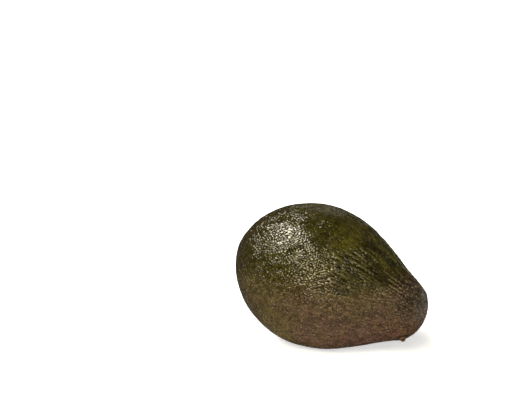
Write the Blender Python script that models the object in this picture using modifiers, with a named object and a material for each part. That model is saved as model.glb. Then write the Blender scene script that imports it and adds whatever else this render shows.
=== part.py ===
"""An avocado with dark pebbled skin, lying on its side, for Blender 4.5.

Metres, +Z up. The fruit rests on a small flat spot whose centre is the origin, under the fruit's weight.
Its long axis runs over +X, stem end at +X, and dips by the slope at which the fruit comes to rest.
The fruit is one solid. The woody stem button sits in a shallow dimple near the narrow end.
"""

import math

import bmesh
import bpy
import numpy as np
from mathutils import Matrix, Vector

MM = 0.001
OBJECT_NAME = "avocado"

# The body is a pear shape turned about its long axis. Stations run from the blossom end to the stem end.
LENGTH = 99.2 * MM
WIDEST_STATION = 41.7 * MM
WIDEST_RADIUS = 34.7 * MM
NECK_STATION = 85.6 * MM
NECK_RADIUS = 17.8 * MM
NECK_TAPER = math.radians(27.6)

# Lengths of the outline's curve handles: how full each stretch is before it turns.
BLOSSOM_FULLNESS = 14.8 * MM
FLANK_BEFORE_WIDEST = 24.2 * MM
FLANK_AFTER_WIDEST = 19.0 * MM
NECK_BEFORE = 14.9 * MM
NECK_AFTER = 8.0 * MM
STEM_END_FULLNESS = 12.8 * MM
CURVE_STEPS = 160

# The neck curves a little to one side and down, as it grew.
NECK_SIDE_BEND = 3.5 * MM
NECK_LIFT_BEND = -0.6 * MM
BEND_POWER = 3

# Rest: the stem end dips, and the skin is pressed flat where it meets the surface.
REST_DIP = math.radians(10.9)
REST_PRESS = 0.8 * MM
RELIEF_FADE_START = 9.0 * MM
RELIEF_FADE_END = 15.0 * MM

# The pebbled skin, larger than life: each pebble is a low dome with creases round it.
PEBBLE_COUNT = 1720
PEBBLE_SEED = 11
PEBBLE_JITTER = 0.42
PEBBLE_EVENING = 0.5
EVENING_PASSES = 2
PEBBLE_TOP = 0.36 * MM
PEBBLE_TOP_SPREAD = 0.36 * MM
CREASE_DEPTH = 0.56 * MM

# The stem's place on the skin, and the way in which it leans out of the fruit.
STEM_STATION = 94.4 * MM
STEM_AROUND = math.radians(238.0)
STEM_LEAN_TOWARDS = Vector((0.46, -0.82, 0.34))
STEM_LEAN = 0.25

# The dimple that the stem button sits in.
DIMPLE_FLOOR_RADIUS = 2.8 * MM
DIMPLE_RIM_RADIUS = 3.7 * MM
DIMPLE_DEPTH = 0.9 * MM
DIMPLE_LIP = 0.25 * MM
DIMPLE_RINGS = ((0.0, 1), (1.5 * MM, 8), (2.8 * MM, 16), (3.3 * MM, 16), (3.8 * MM, 16), (4.6 * MM, 16))
RING_FITTING_PASSES = 5
PEBBLES_START = 5.6 * MM
STEM_END_CENTRE = LENGTH - 22.0 * MM

# The stem button: a woody disc with the hollow stub of the stalk on it.
GAP = 0.3 * MM
BUTTON_RADIUS = 2.45 * MM
BUTTON_EDGE = 0.45 * MM
STUB_RADIUS = 1.45 * MM
STUB_HEIGHT = 1.35 * MM
STUB_RIM_RADIUS = 1.05 * MM
HOLLOW_RADIUS = 0.6 * MM
HOLLOW_DEPTH = 0.9 * MM
BUTTON_SIDES = 28

SKIN_COLOUR = (0.045, 0.038, 0.013)
STEM_COLOUR = (0.20, 0.085, 0.032)


def clear_scene():
    """Removes every object that the file opens with."""
    for thing in list(bpy.data.objects):
        bpy.data.objects.remove(thing, do_unlink=True)


def make_collection(name):
    """A collection linked to the scene."""
    group = bpy.data.collections.new(name)
    bpy.context.scene.collection.children.link(group)
    return group


def make_material(name, colour, roughness):
    """A plain Principled material."""
    material = bpy.data.materials.new(name)
    material.use_nodes = True
    shader = material.node_tree.nodes["Principled BSDF"]
    shader.inputs["Base Color"].default_value = (*colour, 1.0)
    shader.inputs["Roughness"].default_value = roughness
    shader.inputs["Metallic"].default_value = 0.0
    return material


def smooth_step(low, high, value):
    """Runs smoothly from 0 at low to 1 at high."""
    share = np.clip((value - low) / (high - low), 0.0, 1.0)
    return share * share * (3.0 - 2.0 * share)


def curve_points(start, start_handle, end_handle, end):
    """Points along one cubic curve of the outline."""
    t = np.linspace(0.0, 1.0, CURVE_STEPS)[:, None]
    corners = [np.array(corner) for corner in (start, start_handle, end_handle, end)]
    weights = ((1 - t) ** 3, 3 * (1 - t) ** 2 * t, 3 * (1 - t) * t ** 2, t ** 3)
    return sum(weight * corner for weight, corner in zip(weights, corners))


def pear_outline():
    """The outline as rows of station, radius and outward normal, and the sphere angle that each row maps to.

    Equal areas of the sphere map to equal areas of skin, so evenly spread pebbles stay evenly spread.
    """
    widest = np.array((WIDEST_STATION, WIDEST_RADIUS))
    neck = np.array((NECK_STATION, NECK_RADIUS))
    taper = np.array((math.cos(NECK_TAPER), -math.sin(NECK_TAPER)))
    before_widest = widest - (FLANK_BEFORE_WIDEST, 0.0)
    after_widest = widest + (FLANK_AFTER_WIDEST, 0.0)
    blossom_end = curve_points((0.0, 0.0), (0.0, BLOSSOM_FULLNESS), before_widest, widest)
    shoulder = curve_points(widest, after_widest, neck - NECK_BEFORE * taper, neck)
    stem_end = curve_points(neck, neck + NECK_AFTER * taper, (LENGTH, STEM_END_FULLNESS), (LENGTH, 0.0))
    line = np.vstack((blossom_end, shoulder[1:], stem_end[1:]))
    step = np.diff(line, axis=0)
    bands = (line[1:, 1] + line[:-1, 1]) * np.hypot(step[:, 0], step[:, 1])
    share = np.concatenate(([0.0], np.cumsum(bands))) / bands.sum()
    tangent = np.gradient(line, axis=0)
    tangent /= np.linalg.norm(tangent, axis=1, keepdims=True)
    rows = np.column_stack((line, -tangent[:, 1], tangent[:, 0]))
    return rows, np.arccos(np.clip(1.0 - 2.0 * share, -1.0, 1.0))


OUTLINE, OUTLINE_ANGLE = pear_outline()
DIP = np.array(Matrix.Rotation(REST_DIP, 3, "Y"))


def skin_points(directions, lift=0.0):
    """Carries unit directions onto the pear in its resting slope, each raised along the skin's normal."""
    angle = np.arccos(np.clip(-directions[:, 0], -1.0, 1.0))
    around = np.arctan2(directions[:, 2], directions[:, 1])
    station, radius, normal_along, normal_out = (np.interp(angle, OUTLINE_ANGLE, row) for row in OUTLINE.T)
    along = station + lift * normal_along
    out = radius + lift * normal_out
    bend = (station / LENGTH) ** BEND_POWER
    points = np.column_stack((
        along - LENGTH / 2,
        out * np.cos(around) + NECK_SIDE_BEND * bend,
        out * np.sin(around) + NECK_LIFT_BEND * bend,
    ))
    return points @ DIP.T - REST_POINT


def direction_at(station, around):
    """The unit direction that maps to a station and an angle round the axis."""
    angle = np.interp(station, OUTLINE[:, 0], OUTLINE_ANGLE)
    return np.array((-np.cos(angle), np.sin(angle) * np.cos(around), np.sin(angle) * np.sin(around)))


def directions_under(points):
    """The unit directions whose skin lies nearest under points by the stem end."""
    body = (points + REST_POINT) @ DIP
    along = body[:, 0] + LENGTH / 2
    bend = (along / LENGTH) ** BEND_POWER
    side = body[:, 1] - NECK_SIDE_BEND * bend
    height = body[:, 2] - NECK_LIFT_BEND * bend
    around = np.arctan2(height, side)
    seen = np.arctan2(np.hypot(side, height), along - STEM_END_CENTRE)
    outline_seen = np.arctan2(OUTLINE[:, 1], OUTLINE[:, 0] - STEM_END_CENTRE)
    angle = np.interp(-seen, -outline_seen, OUTLINE_ANGLE)
    return np.column_stack((-np.cos(angle), np.sin(angle) * np.cos(around), np.sin(angle) * np.sin(around)))


def find_rest_point():
    """The lowest point of the smooth body, sunk by the press that makes the flat spot."""
    scan = [
        direction_at(station, around)
        for station in np.linspace(0.2 * LENGTH, 0.8 * LENGTH, 241)
        for around in np.radians(np.linspace(240.0, 300.0, 121))
    ]
    points = skin_points(np.array(scan))
    return points[points[:, 2].argmin()] + (0.0, 0.0, REST_PRESS)


def find_stem_frame():
    """The stem's seat on the skin, and its frame as columns: two across the stalk and one along it."""
    probe = 0.01
    seat = direction_at(STEM_STATION, STEM_AROUND)
    further = direction_at(STEM_STATION + probe * MM, STEM_AROUND)
    beside = direction_at(STEM_STATION, STEM_AROUND + probe)
    centre, along, across = skin_points(np.array((seat, further, beside)))
    normal = Vector(np.cross(along - centre, across - centre)).normalized()
    if normal.dot(Vector(centre) - Vector(skin_points(-seat[None, :])[0])) < 0.0:
        normal.negate()
    axis = (normal + STEM_LEAN * STEM_LEAN_TOWARDS.normalized()).normalized()
    first = axis.cross(Vector((0.0, 0.0, 1.0))).normalized()
    return centre, np.array((first, axis.cross(first), axis)).T


REST_POINT = np.zeros(3)
REST_POINT = find_rest_point()
STEM_CENTRE, STEM_AXES = find_stem_frame()


def press_dimple(points):
    """Presses the seat of the stem button into the skin, with a low lip round it."""
    local = (points - STEM_CENTRE) @ STEM_AXES
    reach = np.hypot(local[:, 0], local[:, 1])
    near = local[:, 2] > -2.0 * DIMPLE_RIM_RADIUS
    sunk = near * (1.0 - smooth_step(DIMPLE_FLOOR_RADIUS, DIMPLE_RIM_RADIUS, reach))
    lip_width = DIMPLE_RIM_RADIUS - DIMPLE_FLOOR_RADIUS
    lip = near * DIMPLE_LIP * np.exp(-(((reach - DIMPLE_RIM_RADIUS) / lip_width) ** 2))
    local[:, 2] = (local[:, 2] + lip) * (1.0 - sunk) - DIMPLE_DEPTH * sunk
    return local @ STEM_AXES.T + STEM_CENTRE


def spread_sites(random):
    """Pebble centres on the unit sphere: a golden spiral, moved at random and then evened out a little."""
    number = np.arange(PEBBLE_COUNT) + 0.5
    height = 1.0 - 2.0 * number / PEBBLE_COUNT
    turn = number * math.pi * (1.0 + math.sqrt(5.0))
    ring = np.sqrt(1.0 - height ** 2)
    sites = np.column_stack((height, ring * np.cos(turn), ring * np.sin(turn)))
    spacing = math.sqrt(4.0 * math.pi / PEBBLE_COUNT)
    sites += random.uniform(-1.0, 1.0, sites.shape) * PEBBLE_JITTER * spacing
    mesh = bmesh.new()
    vertices = [mesh.verts.new(Vector(site).normalized()) for site in sites]
    bmesh.ops.convex_hull(mesh, input=vertices)
    for _ in range(EVENING_PASSES):
        bmesh.ops.smooth_vert(
            mesh, verts=vertices, factor=PEBBLE_EVENING, use_axis_x=True, use_axis_y=True, use_axis_z=True
        )
    evened = np.array([vertex.co.normalized() for vertex in vertices])
    mesh.free()
    return evened


def dimple_sites():
    """Unit directions of the rings of points that carry the dimple, each set to its reach from the stalk."""
    wanted = np.array([
        (reach * math.cos(turn), reach * math.sin(turn))
        for reach, count in DIMPLE_RINGS
        for turn in np.arange(count) * 2.0 * math.pi / count
    ])
    across = STEM_AXES[:, :2]
    aim = STEM_CENTRE + wanted @ across.T
    for _ in range(RING_FITTING_PASSES):
        found = (skin_points(directions_under(aim)) - STEM_CENTRE) @ across
        aim += (wanted - found) @ across.T
    return directions_under(aim)


def add_skin_cells(mesh, sites, rings):
    """Spans the sites with triangles, then gives each pebble a crease all round it.

    The dimple's rings keep plain faces, but its outermost ring has creases on its outer side.
    Returns the vertices at the pebbles' tops and those at the creases' corners.
    """
    tops = [mesh.verts.new(site) for site in sites]
    ring_corners = [mesh.verts.new(site) for site in rings]
    plain = set(ring_corners[:-DIMPLE_RINGS[-1][1]])
    bmesh.ops.convex_hull(mesh, input=list(mesh.verts))
    bmesh.ops.triangulate(mesh, faces=list(mesh.faces))
    cells = {face for face in mesh.faces if not plain.intersection(face.verts)}
    shared = [edge for edge in mesh.edges if all(face in cells for face in edge.link_faces)]
    corners = bmesh.ops.poke(mesh, faces=list(cells))["verts"]
    bmesh.ops.rotate_edges(mesh, edges=shared)
    return tops, corners


def flatten_rest_spot(mesh):
    """Cuts the skin off level at the resting surface and closes it with one flat face."""
    everything = list(mesh.verts) + list(mesh.edges) + list(mesh.faces)
    snap = 0.1 * MM
    bmesh.ops.bisect_plane(
        mesh, geom=everything, dist=snap, plane_co=(0, 0, 0), plane_no=(0, 0, 1), clear_inner=True
    )
    open_edges = [edge for edge in mesh.edges if edge.is_boundary]
    for edge in open_edges:
        for corner in edge.verts:
            corner.co.z = 0.0
    bmesh.ops.edgeloop_fill(mesh, edges=open_edges)


def build_fruit(group):
    """The fruit: one solid, with pebbles and creases raised and sunk along the skin's normal."""
    random = np.random.default_rng(PEBBLE_SEED)
    sites = spread_sites(random)
    local = (skin_points(sites) - STEM_CENTRE) @ STEM_AXES
    by_stem = (np.hypot(local[:, 0], local[:, 1]) < PEBBLES_START) & (local[:, 2] > -2.0 * PEBBLES_START)
    sites = sites[~by_stem]

    mesh = bmesh.new()
    tops, corners = add_skin_cells(mesh, sites, dimple_sites())
    lift = {top: PEBBLE_TOP - PEBBLE_TOP_SPREAD * random.random() for top in tops}
    lift.update({corner: -CREASE_DEPTH for corner in corners})

    vertices = list(mesh.verts)
    directions = np.array([vertex.co.normalized() for vertex in vertices])
    heights = np.array([lift.get(vertex, 0.0) for vertex in vertices])
    smooth = skin_points(directions)
    from_spot = np.linalg.norm(smooth, axis=1)
    heights *= smooth_step(RELIEF_FADE_START, RELIEF_FADE_END, from_spot)
    for vertex, point in zip(vertices, press_dimple(skin_points(directions, heights))):
        vertex.co = point

    flatten_rest_spot(mesh)
    bmesh.ops.recalc_face_normals(mesh, faces=list(mesh.faces))
    data = bpy.data.meshes.new("fruit")
    mesh.to_mesh(data)
    mesh.free()
    data.shade_smooth()
    data.materials.append(make_material("skin", SKIN_COLOUR, 0.42))
    fruit = bpy.data.objects.new("fruit", data)
    group.objects.link(fruit)
    return fruit


def build_stem_button(group):
    """The stem button: a turned woody disc with a hollow stub, its underside just clear of the dimple."""
    underside = GAP - DIMPLE_DEPTH
    outline = (
        (0.0, STUB_HEIGHT - HOLLOW_DEPTH),
        (0.7 * HOLLOW_RADIUS, STUB_HEIGHT - HOLLOW_DEPTH),
        (HOLLOW_RADIUS, STUB_HEIGHT - 0.3 * HOLLOW_DEPTH),
        (0.5 * (HOLLOW_RADIUS + STUB_RIM_RADIUS), STUB_HEIGHT),
        (STUB_RIM_RADIUS, STUB_HEIGHT),
        (0.92 * STUB_RADIUS, 0.8 * STUB_HEIGHT),
        (STUB_RADIUS, 0.35 * STUB_HEIGHT),
        (1.12 * STUB_RADIUS, underside + 1.6 * BUTTON_EDGE),
        (0.9 * BUTTON_RADIUS, underside + 1.35 * BUTTON_EDGE),
        (BUTTON_RADIUS, underside + BUTTON_EDGE),
        (0.94 * BUTTON_RADIUS, underside),
        (0.0, underside),
    )
    data = bpy.data.meshes.new("stem_button")
    corners = [(radius, 0.0, height) for radius, height in outline]
    data.from_pydata(corners, [(i, i + 1) for i in range(len(corners) - 1)], [])
    data.shade_smooth()
    data.materials.append(make_material("stem", STEM_COLOUR, 0.75))
    button = bpy.data.objects.new("stem_button", data)
    group.objects.link(button)
    turn = button.modifiers.new("turn", "SCREW")
    turn.axis = "Z"
    turn.steps = BUTTON_SIDES
    turn.render_steps = BUTTON_SIDES
    turn.use_merge_vertices = True
    turn.merge_threshold = 0.01 * MM
    button.matrix_world = Matrix.Translation(STEM_CENTRE) @ Matrix(STEM_AXES.tolist()).to_4x4()
    return button


def main():
    clear_scene()
    group = make_collection(OBJECT_NAME)
    build_fruit(group)
    build_stem_button(group)


main()
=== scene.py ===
"""The looks of the avocado: its finely pebbled, waxy skin and its woody stem button."""

import itertools
import math

import bmesh
import bpy
import numpy as np
from mathutils import Matrix, Vector, kdtree, noise


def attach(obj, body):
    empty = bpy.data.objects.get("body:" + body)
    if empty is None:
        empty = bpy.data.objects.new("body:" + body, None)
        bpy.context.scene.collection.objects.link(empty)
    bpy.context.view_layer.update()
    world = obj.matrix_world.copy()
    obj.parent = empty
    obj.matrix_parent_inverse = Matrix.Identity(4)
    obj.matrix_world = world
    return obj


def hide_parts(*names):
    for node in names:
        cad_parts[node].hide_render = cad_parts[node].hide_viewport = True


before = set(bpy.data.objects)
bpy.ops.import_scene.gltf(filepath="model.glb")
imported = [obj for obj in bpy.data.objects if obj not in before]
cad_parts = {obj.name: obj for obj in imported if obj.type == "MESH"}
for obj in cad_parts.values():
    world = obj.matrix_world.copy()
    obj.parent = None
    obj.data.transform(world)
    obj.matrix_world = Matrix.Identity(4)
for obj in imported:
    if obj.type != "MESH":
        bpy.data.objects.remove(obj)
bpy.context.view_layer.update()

MM = 0.001

# The smooth body, as in the part's source. Stations run from the blossom end to the stem end.
LENGTH = 99.2 * MM
WIDEST_STATION = 41.7 * MM
WIDEST_RADIUS = 34.7 * MM
NECK_STATION = 85.6 * MM
NECK_RADIUS = 17.8 * MM
NECK_TAPER = math.radians(27.6)
BLOSSOM_FULLNESS = 14.8 * MM
FLANK_BEFORE_WIDEST = 24.2 * MM
FLANK_AFTER_WIDEST = 19.0 * MM
NECK_BEFORE = 14.9 * MM
NECK_AFTER = 8.0 * MM
STEM_END_FULLNESS = 12.8 * MM
CURVE_STEPS = 160
NECK_SIDE_BEND = 3.5 * MM
NECK_LIFT_BEND = -0.6 * MM
BEND_POWER = 3
REST_DIP = math.radians(10.9)
REST_PRESS = 0.8 * MM
REST_SCAN_STATIONS = (0.2 * LENGTH, 0.8 * LENGTH)
REST_SCAN_DEGREES = (240.0, 300.0)
RELIEF_FADE = (7.0 * MM, 12.0 * MM)

# The stem's seat, dimple and button. The seat and the dimple are as in the part's source.
STEM_STATION = 94.4 * MM
STEM_AROUND = math.radians(238.0)
STEM_LEAN_TOWARDS = Vector((0.46, -0.82, 0.34))
STEM_LEAN = 0.25
DIMPLE_FLOOR_RADIUS = 2.8 * MM
DIMPLE_RIM_RADIUS = 3.7 * MM
DIMPLE_DEPTH = 0.9 * MM
DIMPLE_LIP = 0.25 * MM
GAP = 0.3 * MM
BUTTON_SIDES = 64
BUTTON_RADIUS = 2.45 * MM
BUTTON_EDGE = 0.45 * MM
STUB_RADIUS = 1.30 * MM
STUB_HEIGHT = 1.1 * MM
STUB_RIM_RADIUS = 1.00 * MM
HOLLOW_RADIUS = 0.62 * MM
HOLLOW_DEPTH = 0.9 * MM
STUB_SLANT = 0.45
WOOD_RIDGES = 0.10 * MM
WOOD_LUMPS = 0.07 * MM
WOOD_LUMPS_PER_METRE = 1400.0
RIDGES_AROUND = 3.0
RIDGES_PER_METRE = 250.0
RAGGED_RIM = 0.16 * MM
RAGS_AROUND = 1.6
RAGS_LEVEL = 4.0

# The pebbles of the fine skin: one cell of the mesh for each, at true size.
MEAN_RADIUS = 37.6 * MM
PEBBLE_COUNT = 8200
PEBBLE_SEED = 5
NOISE_SEED = 7
SITE_JITTER = 0.9
EVENING_PASSES = 3
EVENING = 0.30
NEIGHBOURS = 6
PUSH_REACH = 1.25
NECK_STRETCH = 0.25
NECK_START = (0.0, 0.55)
NECK_END = (0.90, 1.0)
WARP = 0.045
WARP_WIDTH = 0.14
RING_SHARE = 0.66
DOME_POWER = 5.0
PEBBLE_RELIEF = 0.205 * MM
PEBBLE_UNEVEN = 0.35
PEBBLE_TILT = 0.03
RING_UNEVEN = 0.006 * MM

# The creases between pebbles, and the joins where neighbours run together.
CREASE_WANDER = 0.10
CREASE_DEPTH = 0.18 * MM
CREASE_UNEVEN = 0.9
FAINTEST_CREASE = 0.3
RING_CREASE = 0.2
SADDLE = 0.6
SWIRL_WIDTH = 0.22
IN_LINE = (0.62, 0.92)
GRAIN_SPREAD = 0.12
KEPT_JOINS = 0.75
JOIN_HEIGHT = 0.95
MOSTLY_JOINED = 0.5

# Where the pebbles stand out less.
PATCH_WIDTH = 14.0 * MM
PATCH_MEAN = 0.9
PATCH_SWING = 0.5
SMOOTHEST = 0.62
ROUGHEST = 1.25
SMOOTH_SHOULDER = (10.0 * MM, -7.0 * MM, 65.0 * MM)
SMOOTH_SHOULDER_REACH = (13.0 * MM, 19.0 * MM)
SHOULDER_SMOOTH = 0.56
LOW_SIDE = (31.0 * MM, 43.0 * MM)
LOW_SIDE_SMOOTH = 0.35
BLOSSOM_END = (-42.0 * MM, -22.0 * MM)
BLOSSOM_SMOOTH = 0.4
NECK_TIP = (44.0 * MM, 49.0 * MM)
TIP_SMOOTH = 0.05
SMOOTH_BY_STEM = (3.6 * MM, 6.5 * MM)

# The long ridges and furrows on the upper side of the neck, and the fine furrows elsewhere.
BODY_REACH = 60.0 * MM
RIDGED_ALONG = (7.0 * MM, 23.0 * MM)
RIDGED_ABOVE = (31.0 * MM, 40.0 * MM)
RIDGED_BY_TIP = (24.0 * MM, 44.0 * MM)
RIDGED_LOWER = 9.0 * MM
RIDGED_SMOOTH = 0.6
FURROW_DEPTH = 0.50 * MM
FURROW_WIDTH = 2.6 * MM
FURROW_LENGTH = 16.0 * MM
FURROW_RADIUS = 36.0 * MM
FURROW_SHARE = 0.24
RIDGE_SHARE = 0.42
# How far the furrows' depth counts in the crease weight, which paints shade into them and dulls their gloss.
FURROW_SHADE_AND_DULLING = 0.78
FURROW_WANDER = 0.8 * MM
FURROW_WANDER_WIDTH = 4.0 * MM
FURROWS_BELOW = 0.1
FURROWS_BESIDE = 0.25
FURROWS_CALMED = 0.6

# Slow swells and small lumps of the whole body.
UNDULATION = 0.22 * MM
UNDULATION_WIDTH = 11.0 * MM
LUMPS = 0.05 * MM
LUMPS_WIDTH = 3.2 * MM

# Colours of the skin and of the wood, as linear red, green and blue.
GREEN = (0.0175, 0.0155, 0.0007)
LIGHT_GREEN = (0.053, 0.048, 0.006)
OLIVE = (0.036, 0.026, 0.004)
OLIVE_BROWN = (0.073, 0.053, 0.016)
BROWN = (0.084, 0.050, 0.0255)
TIP = (0.050, 0.028, 0.016)
PURPLE = (0.075, 0.037, 0.030)
BLUSH = (0.085, 0.030, 0.022)
# Painted shade, multiplied into the creases between pebbles and into the furrows.
CREASE_PAINTED_SHADE = (0.22, 0.20, 0.14)
DOT = (0.24, 0.17, 0.085)
CORK = (0.06, 0.038, 0.018)
WAX_TINT = (1.0, 0.90, 0.70)
WOOD = (0.12, 0.055, 0.016)
WOOD_GRAIN = (0.075, 0.027, 0.005)
WOOD_FLECK = (0.04, 0.018, 0.008)
WOOD_DISC = (0.022, 0.014, 0.008)
# Painted shade inside the stem button's hollow.
WOOD_HOLLOW_SHADE = (0.008, 0.003, 0.002)

# Noises of the materials: cells in a metre, detail, roughness and distortion.
PATCHES = (42.0, 4.0, 0.6, 0.4)
MOTTLE = (420.0, 3.0, 0.6)
FINE = (2300.0, 1.0, 0.5)
RIPENING = (48.0, 3.0, 0.6, 0.6)
WOOD_FIGURE = (1500.0, 4.0, 0.65, 1.2)
WOOD_FLECKS = (3200.0, 3.0)
DOTS_PER_METRE = 720.0
PORES_PER_METRE = 900.0

# Spans of the skin's green: where each change starts and ends, and any values before and after it.
PATCHES_LEVEL = 24.0 * MM
MOTTLE_LEVEL = 14.0 * MM
LEVEL_SHIFTS = (
    (12.0 * MM, 28.0 * MM, 0.0, 6.0 * MM),
    (42.0 * MM, 50.0 * MM, 0.0, -20.0 * MM),
    (-40.0 * MM, -15.0 * MM, 6.0 * MM, 0.0),
)
GREEN_LEVEL = (31.0 * MM, 52.0 * MM)
BROWN_ALONG = (-15.0 * MM, 15.0 * MM)
LIGHT_GREEN_FROM = (5.0 * MM, 25.0 * MM)
LIGHT_GREEN_TO = (40.0 * MM, 52.0 * MM, 1.0, 0.0)
OLIVE_TO = (-40.0 * MM, -18.0 * MM, 1.0, 0.0)
TIP_FROM = (40.0 * MM, 47.0 * MM)
TIP_ABOVE = (18.0 * MM, 34.0 * MM)

# Spans of the ripening, the pebbles' shades, the painted floor light by height, the painted shade in the
# creases and the dots, in the same way.
MOTTLED = (0.35, 0.65)
MOTTLE_SHARE = 0.5
RIPE = (0.46, 0.62)
RIPE_ALONG = (-10.0 * MM, 30.0 * MM, 0.4, 1.0)
RIPE_BELOW = (12.0 * MM, 46.0 * MM, 1.0, 0.15)
RIPE_SHARE = 0.8
BLUSH_FROM = (30.0 * MM, 46.0 * MM)
BLUSH_BELOW = (16.0 * MM, 30.0 * MM, 0.55, 0.0)
BLUSH_MOTTLED = (*MOTTLED, 0.5, 1.0)
MIDDLE_DRAW = 0.45
DRAW_CONTRAST = (30.0 * MM, 48.0 * MM, 0.75, 0.95)
GRAIN_TONE = (0.3, 0.7, 0.68, 1.36)
BLOSSOM_TONE = (-40.0 * MM, -8.0 * MM, 0.58, 1.0)
# Painted light from the floor: the colour brightened low down and dimmed higher up.
PAINTED_FLOOR_LIGHT_BY_HEIGHT = (6.0 * MM, 29.0 * MM, 1.34, 0.86)
# Painted shade in the creases: how open a crease must be for it, and its strength by height.
CREASE_SHADE_SPAN = (0.22, 0.75)
CREASE_SHADE_BY_HEIGHT = (30.0 * MM, 48.0 * MM, 0.80, 0.95)
DOT_SPAN = (0.14, 0.34, 1.0, 0.0)
DOTS_MOTTLED = (0.38, 0.58, 0.3, 1.0)
DOTS_GRAINED = (0.35, 0.60, 0.35, 1.0)
DOTS_ON_GREEN = (0.0, 1.0, 0.85, 0.16)
CORK_SHARE = 0.7

# Gloss: spans as above, and bumps as strength and depth.
FINE_SHARE = 0.5
WAX_ROUGHNESS = (0.5, 1.0, 0.12, 0.22)
BROWN_ROUGHNESS = (0.0, 0.6, 0.10, 0.0)
CREASE_ROUGHNESS = (0.25, 0.60, 0.0, 0.08)
WAX_IOR = 1.46
FINE_BUMP = (0.45, 0.07 * MM)
PORE_BUMP = (0.2, 0.1 * MM)
GRAIN_SPAN = (0.35, 0.65)
FLECK_SPAN = (0.55, 0.7)
FLECK_SHARE = 0.6
WOOD_ROUGHNESS = (0.3, 0.7, 0.55, 0.85)
WOOD_BUMP = (0.6, 0.2 * MM)

# The camera of the photograph: its distance and lens, and the pixel where the body's middle lies.
PICTURE_WIDTH = 512
PICTURE_HEIGHT = 400
BODY_PIXEL_X = 329.7
BODY_PIXEL_Y = 281.2
VIEW_AZIMUTH = math.radians(29.6)
VIEW_ELEVATION = math.radians(20.2)
VIEW_DISTANCE = 1.243
LENS = 180.0
SENSOR = 36.0
PHOTO_RIGHT = Vector((math.cos(VIEW_AZIMUTH), math.sin(VIEW_AZIMUTH), 0.0))
PHOTO_AWAY = Vector((-math.sin(VIEW_AZIMUTH), math.cos(VIEW_AZIMUTH), 0.0))
PHOTO_ABOVE = Vector((0.0, 0.0, 1.0))

# Soft lights: place and spans in degrees across and away from straight above, distance, radiance and colour.
KEY_COLOUR = (1.0, 1.0, 0.98)
FILL_COLOUR = (1.0, 0.95, 0.78)
LIGHTS = {
    "key": ((-33.8, 11.0), (26.0, 18.5), 0.9, 33.5, KEY_COLOUR),
    "fill": ((-26.5, -55.0), (25.0, 15.0), 1.2, 23.5, FILL_COLOUR),
    "side": ((15.0, -56.0), (36.0, 20.0), 1.2, 4.0, FILL_COLOUR),
    "rim": ((83.0, 76.0), (30.0, 24.0), 1.3, 2.2, KEY_COLOUR),
    "back": ((14.0, 74.0), (20.0, 16.0), 1.3, 0.9, FILL_COLOUR),
}

# The room and the floor. A pair of strengths is for other rays and for the camera's own.
ROOM_STRENGTH = (0.03, 1.0)
FLOOR_SIZE = 8.0
FLOOR_DROP = 0.05 * MM
FLOOR_WHITE = (0.80, 0.80, 0.80)
FLOOR_ROUGHNESS = 0.9
FLOOR_GLOW = (0.165, 0.60)
DULL_MIRROR = (0.05, 0.05, 0.05)
DULL_ASIDE = (60.0 * MM, 110.0 * MM, 1.0, 0.2)
WHITE = (1.0, 1.0, 1.0)


def smooth_step(low, high, value):
    """Runs smoothly from 0 at low to 1 at high."""
    share = np.clip((value - low) / (high - low), 0.0, 1.0)
    return share * share * (3.0 - 2.0 * share)


def unit(vectors):
    """The same vectors at length one."""
    return vectors / np.linalg.norm(vectors, axis=1, keepdims=True)


def running_length(grid, scale):
    """The length run from the grid's start to each of its places, when lengths count by the scale there."""
    steps = 0.5 * (scale[1:] + scale[:-1]) * np.diff(grid)
    return np.concatenate(([0.0], np.cumsum(steps)))


def undulation(points, width):
    """Slow swells and hollows of the body, from -1 to 1."""
    scaled = points / width
    return np.array([noise.noise(Vector(point)) for point in scaled])


def drift(places, width):
    """A vector for each place, that changes smoothly over about the given width."""
    return np.array([noise.noise_vector(Vector(place) / width) for place in places])


def curve_points(start, start_handle, end_handle, end):
    """Points along one cubic curve of the outline."""
    t = np.linspace(0.0, 1.0, CURVE_STEPS)[:, None]
    corners = [np.array(corner) for corner in (start, start_handle, end_handle, end)]
    weights = ((1 - t) ** 3, 3 * (1 - t) ** 2 * t, 3 * (1 - t) * t ** 2, t ** 3)
    return sum(weight * corner for weight, corner in zip(weights, corners))


def pear_outline():
    """Rows of station, radius and outward normal, and the angle on the sphere that each maps to."""
    widest = np.array((WIDEST_STATION, WIDEST_RADIUS))
    neck = np.array((NECK_STATION, NECK_RADIUS))
    taper = np.array((math.cos(NECK_TAPER), -math.sin(NECK_TAPER)))
    before_widest = widest - (FLANK_BEFORE_WIDEST, 0.0)
    after_widest = widest + (FLANK_AFTER_WIDEST, 0.0)
    blossom_end = curve_points((0.0, 0.0), (0.0, BLOSSOM_FULLNESS), before_widest, widest)
    shoulder = curve_points(widest, after_widest, neck - NECK_BEFORE * taper, neck)
    stem_end = curve_points(neck, neck + NECK_AFTER * taper, (LENGTH, STEM_END_FULLNESS), (LENGTH, 0.0))
    line = np.vstack((blossom_end, shoulder[1:], stem_end[1:]))
    step = np.diff(line, axis=0)
    bands = (line[1:, 1] + line[:-1, 1]) * np.hypot(step[:, 0], step[:, 1])
    share = np.concatenate(([0.0], np.cumsum(bands))) / bands.sum()
    tangent = unit(np.gradient(line, axis=0))
    rows = np.column_stack((line, -tangent[:, 1], tangent[:, 0]))
    return rows, np.arccos(np.clip(1.0 - 2.0 * share, -1.0, 1.0))


OUTLINE, OUTLINE_ANGLE = pear_outline()
DIP = np.array(Matrix.Rotation(REST_DIP, 3, "Y"))


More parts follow.
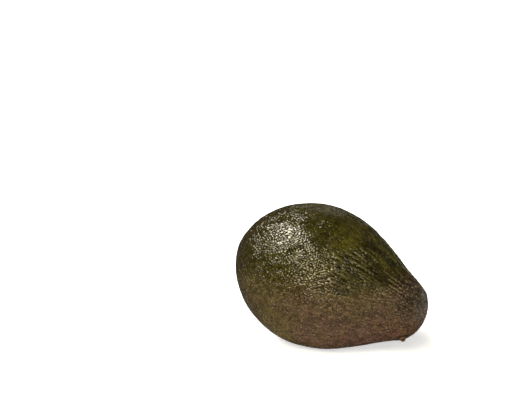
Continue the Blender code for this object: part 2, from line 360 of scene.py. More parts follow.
def sloping_points(directions, lift=0.0):
    """Carries unit directions onto the pear in its resting slope, each raised along the skin's normal."""
    angle = np.arccos(np.clip(-directions[:, 0], -1.0, 1.0))
    around = np.arctan2(directions[:, 2], directions[:, 1])
    columns = [np.interp(angle, OUTLINE_ANGLE, column) for column in OUTLINE.T]
    station, radius, normal_along, normal_out = columns
    along = station + lift * normal_along
    out = radius + lift * normal_out
    bend = (station / LENGTH) ** BEND_POWER
    points = np.column_stack((
        along - LENGTH / 2,
        out * np.cos(around) + NECK_SIDE_BEND * bend,
        out * np.sin(around) + NECK_LIFT_BEND * bend,
    ))
    return points @ DIP.T


def direction_at(station, around):
    """The unit direction that maps to a station and an angle round the axis."""
    angle = np.interp(station, OUTLINE[:, 0], OUTLINE_ANGLE)
    return np.array((-np.cos(angle), np.sin(angle) * np.cos(around), np.sin(angle) * np.sin(around)))


def find_rest_point():
    """The lowest point of the smooth body, sunk by the press that makes the flat spot."""
    scan = [
        direction_at(station, around)
        for station in np.linspace(*REST_SCAN_STATIONS, 241)
        for around in np.radians(np.linspace(*REST_SCAN_DEGREES, 121))
    ]
    points = sloping_points(np.array(scan))
    return points[points[:, 2].argmin()] + (0.0, 0.0, REST_PRESS)


REST_POINT = find_rest_point()


def skin_points(directions, lift=0.0):
    """The pear's points with the middle of its rest spot at the origin."""
    return sloping_points(directions, lift) - REST_POINT


def find_stem_frame():
    """The stem's seat on the skin, and its frame as columns: two across the stalk and one along it."""
    probe = 0.01
    seat = direction_at(STEM_STATION, STEM_AROUND)
    further = direction_at(STEM_STATION + probe * MM, STEM_AROUND)
    beside = direction_at(STEM_STATION, STEM_AROUND + probe)
    centre, along, across = skin_points(np.array((seat, further, beside)))
    normal = Vector(np.cross(along - centre, across - centre)).normalized()
    if normal.dot(Vector(centre) - Vector(skin_points(-seat[None, :])[0])) < 0.0:
        normal.negate()
    axis = (normal + STEM_LEAN * STEM_LEAN_TOWARDS.normalized()).normalized()
    first = axis.cross(Vector((0.0, 0.0, 1.0))).normalized()
    return centre, np.array((first, axis.cross(first), axis)).T


STEM_CENTRE, STEM_AXES = find_stem_frame()


def seen_from_stem(points):
    """Points in the stem's frame, how far each is from the stalk's line, and which lie on its side."""
    local = (points - STEM_CENTRE) @ STEM_AXES
    return local, np.hypot(local[:, 0], local[:, 1]), local[:, 2] > -2.0 * DIMPLE_RIM_RADIUS


def press_dimple(points):
    """Presses the seat of the stem button into the skin, with a low lip round it."""
    local, reach, near = seen_from_stem(points)
    sunk = near * (1.0 - smooth_step(DIMPLE_FLOOR_RADIUS, DIMPLE_RIM_RADIUS, reach))
    lip_width = DIMPLE_RIM_RADIUS - DIMPLE_FLOOR_RADIUS
    lip = near * DIMPLE_LIP * np.exp(-(((reach - DIMPLE_RIM_RADIUS) / lip_width) ** 2))
    local[:, 2] = (local[:, 2] + lip) * (1.0 - sunk) - DIMPLE_DEPTH * sunk
    return local @ STEM_AXES.T + STEM_CENTRE


def smoothed_by_stem(points):
    """From 0 to 1: how far the pebbles have died away towards the stem."""
    _, reach, near = seen_from_stem(points)
    return near * (1.0 - smooth_step(*SMOOTH_BY_STEM, reach))


def shortening():
    """A grid of places along the sphere's axis, and where each comes to lie once the neck is shortened."""
    grid = np.linspace(-1.0, 1.0, 401)
    neck = smooth_step(*NECK_START, grid) * (1.0 - smooth_step(*NECK_END, grid))
    return grid, running_length(grid, 1.0 - NECK_STRETCH * neck) - 1.0


def pebble_space(directions):
    """Warped places in which pebbles are round: lengths along the neck count for less there."""
    placed = unit(directions + WARP * drift(directions, WARP_WIDTH))
    placed[:, 0] = np.interp(placed[:, 0], *shortening())
    return placed


def push_apart(sites, spacing):
    """Moves each site away from its nearest neighbours, so that the pebbles even out in size."""
    places = pebble_space(sites)
    tree = kdtree.KDTree(PEBBLE_COUNT)
    for index, place in enumerate(places):
        tree.insert(place, index)
    tree.balance()
    nearest = [tree.find_n(place, NEIGHBOURS + 1)[1:] for place in places]
    around = np.array([[index for _, index, _ in found] for found in nearest])
    away = places[:, None, :] - places[around]
    reach = np.linalg.norm(away, axis=2, keepdims=True)
    push = away / reach * np.clip(PUSH_REACH * spacing - reach, 0.0, None)
    return unit(sites + EVENING * push.sum(axis=1))


def spread_sites(random):
    """Directions of the pebbles: a golden spiral, moved at random and then evened out."""
    grid, shortened = shortening()
    whole = shortened[-1] + 1.0
    number = (np.arange(PEBBLE_COUNT) + 0.5) / PEBBLE_COUNT
    along = np.interp(-1.0 + number * whole, shortened, grid)
    turn = number * PEBBLE_COUNT * math.pi * (1.0 + math.sqrt(5.0))
    ring = np.sqrt(1.0 - along ** 2)
    sites = np.column_stack((along, ring * np.cos(turn), ring * np.sin(turn)))
    spacing = math.sqrt(2.0 * math.pi * whole / PEBBLE_COUNT)
    sites += random.uniform(-1.0, 1.0, sites.shape) * SITE_JITTER * spacing
    sites = unit(sites)
    for _ in range(EVENING_PASSES):
        sites = push_apart(sites, spacing)
    return sites


def join_sites(sites):
    """Joins neighbouring sites: triangles of three, pairs of two, and the two triangles beside each pair.

    All are put in order, because the hull comes out in a different order each run.
    """
    hull = bmesh.new()
    for place in pebble_space(sites):
        hull.verts.new(place)
    bmesh.ops.convex_hull(hull, input=list(hull.verts))
    hull.verts.index_update()
    triangles = sorted(sorted(vertex.index for vertex in face.verts) for face in hull.faces)
    hull.free()
    beside = {}
    for number, triangle in enumerate(triangles):
        for pair in itertools.combinations(triangle, 2):
            beside.setdefault(pair, []).append(number)
    pairs = sorted(beside)
    return np.array(triangles), np.array(pairs), np.array([beside[pair] for pair in pairs])


class Cells:
    """The skin's net on the unit sphere: each pebble's site, and its cell's corners, creases and ring."""

    def __init__(self, random):
        self.sites = spread_sites(random)
        self.triangles, self.pairs, self.sides = join_sites(self.sites)
        self.owners = self.triangles.ravel()
        self.nearby = np.repeat(np.arange(len(self.triangles)), 3)
        self.corners = unit(self.sites[self.triangles].mean(axis=1))
        centres = self.sites[self.owners]
        self.ring = unit(centres + RING_SHARE * (self.corners[self.nearby] - centres))
        first, second = self.corners[self.sides[:, 0]], self.corners[self.sides[:, 1]]
        slip = random.normal(0.0, CREASE_WANDER, (len(self.sides), 1))
        self.middles = unit(self.corners[self.sides].mean(axis=1) + slip * np.cross(second - first, first))
        self.directions = np.vstack((self.sites, self.corners, self.middles, self.ring))

    def faces(self):
        """Four triangles beside each crease for each of its two pebbles, and the pebble of each triangle."""
        first_corner = len(self.sites)
        first_middle = first_corner + len(self.corners)
        first_ring = first_middle + len(self.middles)
        spokes = zip(self.owners.tolist(), self.nearby.tolist())
        ring_point = {spoke: first_ring + index for index, spoke in enumerate(spokes)}
        faces = []
        pebbles = []
        for number, (pair, side) in enumerate(zip(self.pairs.tolist(), self.sides.tolist())):
            middle = first_middle + number
            crossing = np.cross(self.corners[side[0]], self.corners[side[1]])
            for site in pair:
                one, other = side if np.dot(self.sites[site], crossing) > 0.0 else side[::-1]
                near_one = ring_point[site, one]
                near_other = ring_point[site, other]
                faces.append((site, near_one, near_other))
                faces.append((near_one, first_corner + one, middle))
                faces.append((near_one, middle, near_other))
                faces.append((near_other, middle, first_corner + other))
                pebbles += [site] * 4
        return faces, pebbles

    def spread(self, at_site, at_corner, at_middle, at_ring):
        """One value for each of the net's points, in the order of its directions."""
        groups = (self.sites, self.corners, self.middles, self.ring)
        values = (at_site, at_corner, at_middle, at_ring)
        return np.concatenate([np.broadcast_to(value, len(group)) for value, group in zip(values, groups)])


def low_side(points):
    """From 0 to 1: how far a point is on the flatter lower side of the body, short of the neck's end."""
    return (1.0 - smooth_step(*LOW_SIDE, points[:, 2])) * (1.0 - smooth_step(*NECK_TIP, points[:, 0]))


def smooth_shoulder(points):
    """From 0 to 1: how far a point is inside the smoother patch on top of the shoulder."""
    away = np.linalg.norm(points - np.array(SMOOTH_SHOULDER), axis=1)
    return 1.0 - smooth_step(*SMOOTH_SHOULDER_REACH, away)


def neck_flank(points):
    """From 0 to 1: how far a point is on the upper side of the neck, where the skin lies in ridges."""
    height = points[:, 2] + RIDGED_LOWER * smooth_step(*RIDGED_BY_TIP, points[:, 0])
    return smooth_step(*RIDGED_ALONG, points[:, 0]) * smooth_step(*RIDGED_ABOVE, height)


def pebbliness(points):
    """How much the pebbles stand out at each point: in patches, and less where the skin is calmer."""
    patches = PATCH_MEAN + PATCH_SWING * undulation(points, PATCH_WIDTH)
    blossom = 1.0 - smooth_step(*BLOSSOM_END, points[:, 0])
    tip = smooth_step(*NECK_TIP, points[:, 0])
    calm = (1.0 - LOW_SIDE_SMOOTH * low_side(points)) * (1.0 - BLOSSOM_SMOOTH * blossom)
    calm *= 1.0 - RIDGED_SMOOTH * neck_flank(points) * (1.0 - tip)
    calm *= 1.0 - TIP_SMOOTH * tip
    return np.clip(patches, SMOOTHEST, ROUGHEST) * (1.0 - SHOULDER_SMOOTH * smooth_shoulder(points)) * calm


def joined_pairs(sites, pairs, random):
    """Which neighbouring pebbles run together, from 0 to 1: mostly those in line with a swirling grain.

    Along the neck the grain follows the fruit's length.
    """
    here = sites[pairs].mean(axis=1)
    between = unit(pebble_space(sites[pairs[:, 1]]) - pebble_space(sites[pairs[:, 0]]))
    swirl = drift(here, SWIRL_WIDTH)
    swirl -= (swirl * here).sum(axis=1, keepdims=True) * here
    lengthwise = smooth_step(*NECK_START, here[:, :1])
    grain = unit(unit(swirl) * (1.0 - lengthwise) + np.array((1.0, 0.0, 0.0)) * lengthwise)
    in_line = np.abs((between * grain).sum(axis=1))
    wanted = smooth_step(*IN_LINE, in_line + GRAIN_SPREAD * random.normal(0.0, 1.0, len(pairs)))
    return wanted * (random.random(len(pairs)) < KEPT_JOINS)


def furrow_space(points, directions):
    """Wandering places in which furrows are as long as wide, though they run along the neck."""
    grid = np.linspace(-BODY_REACH, BODY_REACH, 241)
    turned = smooth_step(*RIDGED_ALONG, grid)
    squeezed = running_length(grid, 1.0 + (FURROW_WIDTH / FURROW_LENGTH - 1.0) * turned)
    evened = np.interp(points[:, 0], grid, turned)[:, None]
    from_axis = np.hypot(directions[:, 1], directions[:, 2])
    around = directions[:, 1:] / np.maximum(from_axis, 1e-6)[:, None] * FURROW_RADIUS
    beside = points[:, 1:] + REST_POINT[1:]
    placed = np.empty_like(points)
    placed[:, 0] = np.interp(points[:, 0], grid, squeezed)
    placed[:, 1:] = beside + evened * (around - beside)
    return placed + FURROW_WANDER * drift(placed, FURROW_WANDER_WIDTH)


def furrows(points, directions):
    """How deep the fine furrows between ridges are at each point, from 0 to 1."""
    waves = np.abs(undulation(furrow_space(points, directions), FURROW_WIDTH))
    flank = neck_flank(points)
    depth = 1.0 - smooth_step(0.0, FURROW_SHARE + (RIDGE_SHARE - FURROW_SHARE) * flank, waves)
    shallow = 1.0 - (1.0 - FURROWS_BELOW) * low_side(points)
    shallow *= 1.0 - FURROWS_CALMED * smooth_shoulder(points)
    return depth * shallow * (FURROWS_BESIDE + (1.0 - FURROWS_BESIDE) * flank)


def raise_skin(directions, heights, furrow, by_stem):
    """The skin's points, with the relief faded out at the rest spot and by the stem."""
    smooth = skin_points(directions)
    fade = smooth_step(*RELIEF_FADE, np.linalg.norm(smooth, axis=1)) * (1.0 - by_stem)
    swell = UNDULATION * undulation(smooth, UNDULATION_WIDTH) + LUMPS * undulation(smooth, LUMPS_WIDTH)
    relief = heights * pebbliness(smooth) - FURROW_DEPTH * furrow
    points = press_dimple(skin_points(directions, fade * (relief + swell)))
    points[:, 2] = np.maximum(points[:, 2], 0.0)
    return points


def store(data, name, values, domain="POINT"):
    """Keeps one number for each vertex or face, for the material to read."""
    layer = data.attributes.new(name, "FLOAT", domain)
    layer.data.foreach_set("value", np.asarray(values, np.float32))


def sharpen_edges(data, in_crease):
    """Marks the edges that run along a crease as sharp."""
    ends = np.empty(len(data.edges) * 2, int)
    data.edges.foreach_get("vertices", ends)
    sharp = data.attributes.new("sharp_edge", "BOOLEAN", "EDGE")
    sharp.data.foreach_set("value", in_crease[ends.reshape(-1, 2)].all(axis=1))


def make_skin():
    """The fruit's skin as one closed mesh: a domed top and a crease round it for each pebble."""
    random = np.random.default_rng(PEBBLE_SEED)
    cells = Cells(random)
    owners = cells.owners
    draw = random.random(len(cells.sites))
    tilt = random.normal(0.0, PEBBLE_TILT, cells.sites.shape)
    joined = joined_pairs(cells.sites, cells.pairs, random)
    crease = 1.0 - CREASE_UNEVEN * random.random(len(cells.corners))

    top = PEBBLE_RELIEF * (1.0 - PEBBLE_UNEVEN * draw)
    bottom = -CREASE_DEPTH * crease
    saddle = bottom[cells.sides].mean(axis=1) * (1.0 - SADDLE * random.random(len(cells.sides)))
    saddle += (JOIN_HEIGHT * top[cells.pairs].mean(axis=1) - saddle) * joined
    domed = top[owners] + (bottom[cells.nearby] - top[owners]) * RING_SHARE ** DOME_POWER
    lean = MEAN_RADIUS * ((cells.ring - cells.sites[owners]) * tilt[owners]).sum(axis=1)
    uneven = random.normal(0.0, RING_UNEVEN, len(owners))
    heights = cells.spread(top, bottom, saddle, domed + lean + uneven)

    smooth = skin_points(cells.directions)
    by_stem = smoothed_by_stem(smooth)
    furrow = furrows(smooth, cells.directions)
    points = raise_skin(cells.directions, heights, furrow, by_stem)
    faces, pebbles = cells.faces()
    data = bpy.data.meshes.new("avocado_skin")
    data.from_pydata(points.tolist(), [], faces)
    # The crease weight paints shade into the creases and furrows, and dulls their gloss.
    creases = cells.spread(0.0, np.clip(crease, FAINTEST_CREASE, 1.0), 1.0 - joined, RING_CREASE)
    store(data, "crease", np.maximum(creases, FURROW_SHADE_AND_DULLING * furrow))
    store(data, "by_stem", by_stem)
    store(data, "draw", draw[pebbles], "FACE")
    data.update()
    data.shade_smooth()
    sharpen_edges(data, cells.spread(False, True, joined < MOSTLY_JOINED, False))
    data.materials.append(skin_material())
    skin = bpy.data.objects.new("avocado_skin", data)
    bpy.context.scene.collection.objects.link(skin)
    return skin


class Nodes:
    """Short calls for laying out one material's nodes."""

    def __init__(self, name):
        self.material = bpy.data.materials.new(name)
        self.material.use_nodes = True
        self.tree = self.material.node_tree
        self.shader = self.tree.nodes["Principled BSDF"]
        self.place = self.tree.nodes.new("ShaderNodeTexCoord").outputs["Object"]

    def link(self, value, socket):
        """Sets a socket from another node's output, or from a plain value."""
        if isinstance(value, bpy.types.NodeSocket):
            self.tree.links.new(value, socket)
        else:
            socket.default_value = value

    def read(self, name):
        """A number that the mesh holds for each vertex or face."""
        node = self.tree.nodes.new("ShaderNodeAttribute")
        node.attribute_name = name
        return node.outputs["Fac"]

    def noise(self, scale, detail=3.0, roughness=0.55, distortion=0.0):
        """Soft noise in the object's own space; scale counts cells in a metre."""
        node = self.tree.nodes.new("ShaderNodeTexNoise")
        self.link(self.place, node.inputs["Vector"])
        node.inputs["Scale"].default_value = scale
        node.inputs["Detail"].default_value = detail
        node.inputs["Roughness"].default_value = roughness
        node.inputs["Distortion"].default_value = distortion
        return node.outputs["Fac"]

    def spots(self, scale):
        """Distance to the nearest of scattered points; scale counts them in a metre."""
        node = self.tree.nodes.new("ShaderNodeTexVoronoi")
        self.link(self.place, node.inputs["Vector"])
        node.inputs["Scale"].default_value = scale
        return node.outputs["Distance"]

    def math(self, operation, first, second):
        """One sum."""
        node = self.tree.nodes.new("ShaderNodeMath")
        node.operation = operation
        self.link(first, node.inputs[0])
        self.link(second, node.inputs[1])
        return node.outputs[0]

    def plus(self, first, second):
        """Two values added."""
        return self.math("ADD", first, second)

    def times(self, first, second):
        """Two values multiplied."""
        return self.math("MULTIPLY", first, second)

    def swing(self, value, reach, middle=0.5):
        """How far a value is from its middle, scaled by the reach."""
        return self.times(self.math("SUBTRACT", value, middle), reach)

    def span(self, value, low, high, to_low=0.0, to_high=1.0):
        """Carries low to high onto another span, smoothly and clamped."""
        node = self.tree.nodes.new("ShaderNodeMapRange")
        node.interpolation_type = "SMOOTHSTEP"
        self.link(value, node.inputs["Value"])
        for name, number in (("From Min", low), ("From Max", high), ("To Min", to_low), ("To Max", to_high)):
            node.inputs[name].default_value = number
        return node.outputs["Result"]

    def vector(self, operation, first, second, socket):
        """One sum with a vector or colour; socket names the input for the second value."""
        node = self.tree.nodes.new("ShaderNodeVectorMath")
        node.operation = operation
        self.link(first, node.inputs[0])
        self.link(second, node.inputs[socket])
        return node.outputs

    def mix(self, share, first, second, blend="MIX"):
        """Mixes two colours."""
        node = self.tree.nodes.new("ShaderNodeMix")
        node.data_type = "RGBA"
        node.blend_type = blend
        self.link(share, node.inputs[0])
        for colour, socket in ((first, node.inputs[6]), (second, node.inputs[7])):
            self.link(colour if isinstance(colour, bpy.types.NodeSocket) else (*colour, 1.0), socket)
        return node.outputs[2]

    def bump(self, height, strength, distance, normal=None):
        """A bump from a height."""
        node = self.tree.nodes.new("ShaderNodeBump")
        self.link(height, node.inputs["Height"])
        node.inputs["Strength"].default_value = strength
        node.inputs["Distance"].default_value = distance
        if normal is not None:
            self.link(normal, node.inputs["Normal"])
        return node.outputs["Normal"]


class SkinNodes(Nodes):
    """The nodes of the skin, with the places and noises that its colours and its gloss share."""

    def __init__(self):
        super().__init__("avocado_skin")
        split = self.tree.nodes.new("ShaderNodeSeparateXYZ")
        self.link(self.place, split.inputs[0])
        self.along = split.outputs["X"]
        self.height = split.outputs["Z"]
        self.mottle = self.noise(*MOTTLE)
        self.fine = self.noise(*FINE)
        self.crease = self.read("crease")
        self.greenness = self.green_share()

    def green_share(self):
        """From 0 to 1: how green the skin is, which it is above a wavering level."""
        level = self.plus(self.height, self.swing(self.noise(*PATCHES), PATCHES_LEVEL))
        for shift in LEVEL_SHIFTS:
            level = self.plus(level, self.span(self.along, *shift))
        level = self.plus(level, self.swing(self.mottle, MOTTLE_LEVEL))
        return self.span(level, *GREEN_LEVEL)

    def ground_colour(self):
        """Greens above and browns below, with a brown tip."""
        browns = self.mix(self.span(self.along, *BROWN_ALONG), OLIVE_BROWN, BROWN)
        on_neck = self.times(self.span(self.along, *LIGHT_GREEN_FROM), self.span(self.along, *LIGHT_GREEN_TO))
        greens = self.mix(on_neck, GREEN, LIGHT_GREEN)
        greens = self.mix(self.span(self.along, *OLIVE_TO), greens, OLIVE)
        colour = self.mix(self.greenness, browns, greens)
        above = self.mix(self.span(self.height, *TIP_ABOVE), colour, TIP)
        return self.mix(self.span(self.along, *TIP_FROM), colour, above)

    def ripened(self, colour):
        """The colour with olive mottles, purple where the fruit ripens, and a blush low on the tip."""
        colour = self.mix(self.times(self.span(self.mottle, *MOTTLED), MOTTLE_SHARE), colour, OLIVE)
        ripe = self.span(self.noise(*RIPENING), *RIPE)
        ripe = self.times(ripe, self.span(self.along, *RIPE_ALONG))
        ripe = self.times(ripe, self.span(self.height, *RIPE_BELOW))
        colour = self.mix(self.times(ripe, RIPE_SHARE), colour, PURPLE)
        blush = self.times(self.span(self.along, *BLUSH_FROM), self.span(self.height, *BLUSH_BELOW))
        blush = self.times(blush, self.span(self.mottle, *BLUSH_MOTTLED))
        return self.mix(blush, colour, BLUSH)

    def toned(self, colour):
        """The colour with each pebble in a shade of its own, darker towards the blossom end, with painted
        floor light that brightens it low down and dims it higher up, and painted shade in the creases between
        pebbles.
        """
        tone = self.swing(self.read("draw"), self.span(self.height, *DRAW_CONTRAST), MIDDLE_DRAW)
        tone = self.plus(tone, self.span(self.fine, *GRAIN_TONE))
        tone = self.times(tone, self.span(self.along, *BLOSSOM_TONE))
        # Painted floor light: brighter low down, dimmer higher up.
        tone = self.times(tone, self.span(self.height, *PAINTED_FLOOR_LIGHT_BY_HEIGHT))
        shaded = self.vector("SCALE", colour, tone, "Scale")["Vector"]
        # Painted shade in the creases and furrows.
        creases = self.times(self.span(self.crease, *CREASE_SHADE_SPAN), self.span(self.height, *CREASE_SHADE_BY_HEIGHT))
        return self.mix(creases, shaded, CREASE_PAINTED_SHADE, "MULTIPLY")

    def dotted(self, colour):
        """The colour with paler dots, and corky brown by the stem."""
        dots = self.span(self.spots(DOTS_PER_METRE), *DOT_SPAN)
        dots = self.times(dots, self.span(self.mottle, *DOTS_MOTTLED))
        dots = self.times(dots, self.span(self.fine, *DOTS_GRAINED))
        dots = self.times(dots, self.span(self.greenness, *DOTS_ON_GREEN))
        colour = self.mix(dots, colour, DOT)
        return self.mix(self.times(self.read("by_stem"), CORK_SHARE), colour, CORK)

    def roughness(self):
        """Waxy, and a little duller where it is brown and in the creases."""
        mottled = self.plus(self.mottle, self.times(self.fine, FINE_SHARE))
        waxy = self.plus(self.span(mottled, *WAX_ROUGHNESS), self.span(self.greenness, *BROWN_ROUGHNESS))
        return self.plus(waxy, self.span(self.crease, *CREASE_ROUGHNESS))


def skin_material():
    """Waxy skin: olive green above, brown below and by the stem, painted shade in the creases, painted floor
    light low down, and paler specks.
    """
    n = SkinNodes()
    n.link(n.dotted(n.toned(n.ripened(n.ground_colour()))), n.shader.inputs["Base Color"])
    n.link(n.roughness(), n.shader.inputs["Roughness"])
    n.shader.inputs["IOR"].default_value = WAX_IOR
    n.shader.inputs["Specular Tint"].default_value = (*WAX_TINT, 1.0)
    rough = n.bump(n.fine, *FINE_BUMP)
    n.link(n.bump(n.spots(PORES_PER_METRE), *PORE_BUMP, rough), n.shader.inputs["Normal"])
    return n.material


def stem_material():
    """Dry orange-brown wood with darker grain and flecks, on a dark disc and round a hollow darkened with
    painted shade.
    """
    n = Nodes("avocado_stem")
    grain = n.noise(*WOOD_FIGURE)
    colour = n.mix(n.span(grain, *GRAIN_SPAN), WOOD_GRAIN, WOOD)
    colour = n.mix(n.read("disc"), colour, WOOD_DISC)
    # Painted shade in the hollow.
    colour = n.mix(n.read("hollow"), colour, WOOD_HOLLOW_SHADE)
    flecks = n.times(n.span(n.noise(*WOOD_FLECKS), *FLECK_SPAN), FLECK_SHARE)
    n.link(n.mix(flecks, colour, WOOD_FLECK), n.shader.inputs["Base Color"])
    n.link(n.span(grain, *WOOD_ROUGHNESS), n.shader.inputs["Roughness"])
    n.link(n.bump(grain, *WOOD_BUMP), n.shader.inputs["Normal"])
    return n.material


def button_profile():
    """Radius and height along the button's profile, from the hollow's floor to the underside."""
    underside = GAP - DIMPLE_DEPTH
    return (
        (0.0, STUB_HEIGHT - HOLLOW_DEPTH),
        (0.4 * HOLLOW_RADIUS, STUB_HEIGHT - HOLLOW_DEPTH),
        (0.8 * HOLLOW_RADIUS, STUB_HEIGHT - 0.9 * HOLLOW_DEPTH),
        (0.95 * HOLLOW_RADIUS, STUB_HEIGHT - 0.5 * HOLLOW_DEPTH),
        (1.05 * HOLLOW_RADIUS, STUB_HEIGHT - 0.15 * HOLLOW_DEPTH),
        (0.5 * (HOLLOW_RADIUS + STUB_RIM_RADIUS), STUB_HEIGHT),
        (STUB_RIM_RADIUS, STUB_HEIGHT),
        (0.85 * STUB_RADIUS, 0.93 * STUB_HEIGHT),
        (0.95 * STUB_RADIUS, 0.75 * STUB_HEIGHT),
        (STUB_RADIUS, 0.5 * STUB_HEIGHT),
        (1.03 * STUB_RADIUS, 0.25 * STUB_HEIGHT),
        (1.15 * STUB_RADIUS, underside + 1.7 * BUTTON_EDGE),
        (0.82 * BUTTON_RADIUS, underside + 1.5 * BUTTON_EDGE),
        (0.95 * BUTTON_RADIUS, underside + 1.3 * BUTTON_EDGE),
        (BUTTON_RADIUS, underside + BUTTON_EDGE),
        (0.99 * BUTTON_RADIUS, underside + 0.4 * BUTTON_EDGE),
        (0.94 * BUTTON_RADIUS, underside),
        (0.5 * BUTTON_RADIUS, underside),
        (0.0, underside),
    )


def turn_button():
    """The button's profile turned into a closed body."""
    mesh = bmesh.new()
    corners = [mesh.verts.new((radius, 0.0, height)) for radius, height in button_profile()]
    edges = [mesh.edges.new(pair) for pair in zip(corners, corners[1:])]
    bmesh.ops.spin(
        mesh,
        geom=corners + edges,
        cent=(0, 0, 0),
        axis=(0, 0, 1),
        angle=2 * math.pi,
        steps=BUTTON_SIDES,
        use_duplicate=False,
    )
    bmesh.ops.remove_doubles(mesh, verts=list(mesh.verts), dist=0.005 * MM)
    bmesh.ops.recalc_face_normals(mesh, faces=list(mesh.faces))
    mesh.normal_update()
    return mesh


def noise_round(turn, radius, level):
    """Noise round the stalk that closes on itself; a larger radius gives more waves."""
    return noise.noise(Vector((radius * math.cos(turn), radius * math.sin(turn), level)))


def roughen(vertex, towards):
    """Gives one point of the button its woody ridges and lumps, a ragged rim and the stub's slant."""
    turn = math.atan2(vertex.co.y, vertex.co.x)
    reach = math.hypot(vertex.co.x, vertex.co.y)
    above = max(vertex.co.z, 0.0) / STUB_HEIGHT
    ridges = WOOD_RIDGES * noise_round(turn, RIDGES_AROUND, RIDGES_PER_METRE * vertex.co.z)
    lumps = WOOD_LUMPS * noise.noise(vertex.co * WOOD_LUMPS_PER_METRE)
    vertex.co += vertex.normal * (ridges + lumps) * min(1.0, reach / HOLLOW_RADIUS)
    vertex.co.z += RAGGED_RIM * noise_round(turn, RAGS_AROUND, RAGS_LEVEL) * above
    vertex.co.z -= STUB_SLANT * min(above, 1.0) * vertex.co.xy.dot(towards)


def make_stem_button():
    """The woody button, turned from a profile and roughened, with a ragged rim round its hollow."""
    mesh = turn_button()
    towards = Vector(STEM_AXES.T @ -np.array(PHOTO_AWAY)).xy.normalized()
    hollows = []
    discs = []
    for vertex in mesh.verts:
        reach = math.hypot(vertex.co.x, vertex.co.y)
        inside = reach < 1.02 * HOLLOW_RADIUS and vertex.co.z > 0.2 * STUB_HEIGHT
        hollows.append(1.0 if inside else 0.0)
        discs.append(smooth_step(STUB_RADIUS, 1.3 * STUB_RADIUS, reach))
        roughen(vertex, towards)
    data = bpy.data.meshes.new("avocado_stem_button")
    mesh.to_mesh(data)
    mesh.free()
    store(data, "hollow", hollows)
    store(data, "disc", discs)
    data.shade_smooth()
    data.materials.append(stem_material())
    button = bpy.data.objects.new("avocado_stem_button", data)
    bpy.context.scene.collection.objects.link(button)
    button.matrix_world = Matrix.Translation(STEM_CENTRE) @ Matrix(STEM_AXES.tolist()).to_4x4()
    return button


def photo_direction(right, away, above):
    """A unit direction given along the photograph's right, away from the camera and up."""
    return (right * PHOTO_RIGHT + away * PHOTO_AWAY + above * PHOTO_ABOVE).normalized()


def make_camera():
    """The photograph's camera, aimed so that the body's middle falls on its pixel."""
    forward = photo_direction(0.0, math.cos(VIEW_ELEVATION), -math.sin(VIEW_ELEVATION))
    up = photo_direction(0.0, math.sin(VIEW_ELEVATION), math.cos(VIEW_ELEVATION))
    middle = Vector(-REST_POINT)
    pixel = VIEW_DISTANCE * SENSOR / LENS / PICTURE_WIDTH
    right_of_axis = (BODY_PIXEL_X - PICTURE_WIDTH / 2) * pixel
    below_axis = (BODY_PIXEL_Y - PICTURE_HEIGHT / 2) * pixel
    data = bpy.data.cameras.new("camera")
    data.lens = LENS
    data.sensor_width = SENSOR
    data.sensor_fit = "HORIZONTAL"
    data.clip_end = 20.0
    camera = bpy.data.objects.new("camera", data)
    camera.location = middle - right_of_axis * PHOTO_RIGHT + below_axis * up - VIEW_DISTANCE * forward
    camera.rotation_euler = Matrix((PHOTO_RIGHT, up, -forward)).transposed().to_euler()
    bpy.context.scene.collection.objects.link(camera)
    bpy.context.scene.camera = camera


def make_softbox(name, place, spans, distance, radiance, colour):
    """A rectangular soft light that faces the fruit. Its place and spans are in degrees."""
    across, away = (math.tan(math.radians(angle)) for angle in place)
    direction = photo_direction(across, away, 1.0)
    width, depth = (2.0 * distance * math.tan(math.radians(angle) / 2.0) for angle in spans)
    data = bpy.data.lights.new(name, "AREA")
    data.shape = "RECTANGLE"
    data.size = width
    data.size_y = depth
    data.energy = radiance * math.pi * width * depth
    data.color = colour
    light = bpy.data.objects.new(name, data)
    along = (PHOTO_RIGHT - PHOTO_RIGHT.dot(direction) * direction).normalized()
    turned = Matrix((along, direction.cross(along), direction)).transposed().to_4x4()
    light.matrix_world = Matrix.Translation(Vector(-REST_POINT) + direction * distance) @ turned
    light.visible_camera = False
    bpy.context.scene.collection.objects.link(light)


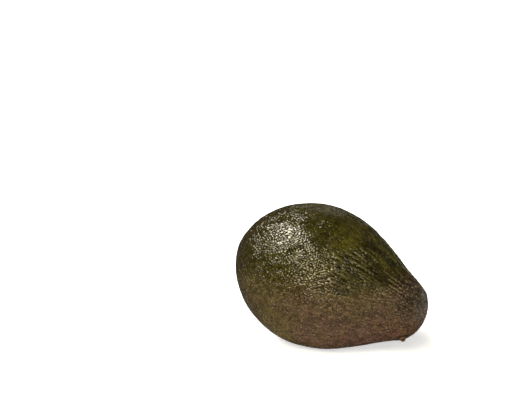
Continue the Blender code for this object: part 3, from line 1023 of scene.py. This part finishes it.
def make_room():
    """A white room that the camera sees bright, and that lights the fruit only dimly."""
    world = bpy.data.worlds.new("room")
    bpy.context.scene.world = world
    world.use_nodes = True
    tree = world.node_tree
    background = tree.nodes["Background"]
    background.inputs["Color"].default_value = (*WHITE, 1.0)
    seen = tree.nodes.new("ShaderNodeLightPath")
    strength = tree.nodes.new("ShaderNodeMapRange")
    strength.inputs["To Min"].default_value, strength.inputs["To Max"].default_value = ROOM_STRENGTH
    tree.links.new(seen.outputs["Is Camera Ray"], strength.inputs["Value"])
    tree.links.new(strength.outputs["Result"], background.inputs["Strength"])


def floor_material():
    """Glowing white, whose mirror image in the skin is dulled but for the open floor to the right."""
    n = Nodes("floor")
    n.shader.inputs["Base Color"].default_value = (*FLOOR_WHITE, 1.0)
    n.shader.inputs["Roughness"].default_value = FLOOR_ROUGHNESS
    n.shader.inputs["Emission Color"].default_value = (*WHITE, 1.0)
    ray = n.tree.nodes.new("ShaderNodeLightPath")
    n.link(n.span(ray.outputs["Is Camera Ray"], 0.0, 1.0, *FLOOR_GLOW), n.shader.inputs["Emission Strength"])
    dull = n.tree.nodes.new("ShaderNodeBsdfDiffuse")
    dull.inputs["Color"].default_value = (*DULL_MIRROR, 1.0)
    aside = n.vector("DOT_PRODUCT", n.place, tuple(PHOTO_RIGHT), 1)["Value"]
    either = n.tree.nodes.new("ShaderNodeMixShader")
    n.link(n.times(ray.outputs["Is Glossy Ray"], n.span(aside, *DULL_ASIDE)), either.inputs["Fac"])
    n.link(n.shader.outputs[0], either.inputs[1])
    n.link(dull.outputs[0], either.inputs[2])
    n.link(either.outputs[0], n.tree.nodes["Material Output"].inputs["Surface"])
    return n.material


def make_floor():
    """A wide pale floor just under the fruit."""
    bpy.ops.mesh.primitive_plane_add(size=FLOOR_SIZE, location=(0.0, 0.0, -FLOOR_DROP))
    floor = bpy.context.object
    floor.name = "floor"
    floor.data.materials.append(floor_material())


def make_studio():
    """Five soft lights, a dim room and a pale floor."""
    for name, light in LIGHTS.items():
        make_softbox(name, *light)
    make_room()
    make_floor()
    view = bpy.context.scene.view_settings
    view.view_transform = "Standard"
    view.look = "None"


# Without a seed, Blender's noise vectors start from the clock, and the skin comes out different each run.
noise.seed_set(NOISE_SEED)

make_camera()
make_studio()

skin = make_skin()
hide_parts("fruit")
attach(skin, "root")

button = make_stem_button()
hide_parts("stem_button")
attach(button, "root")
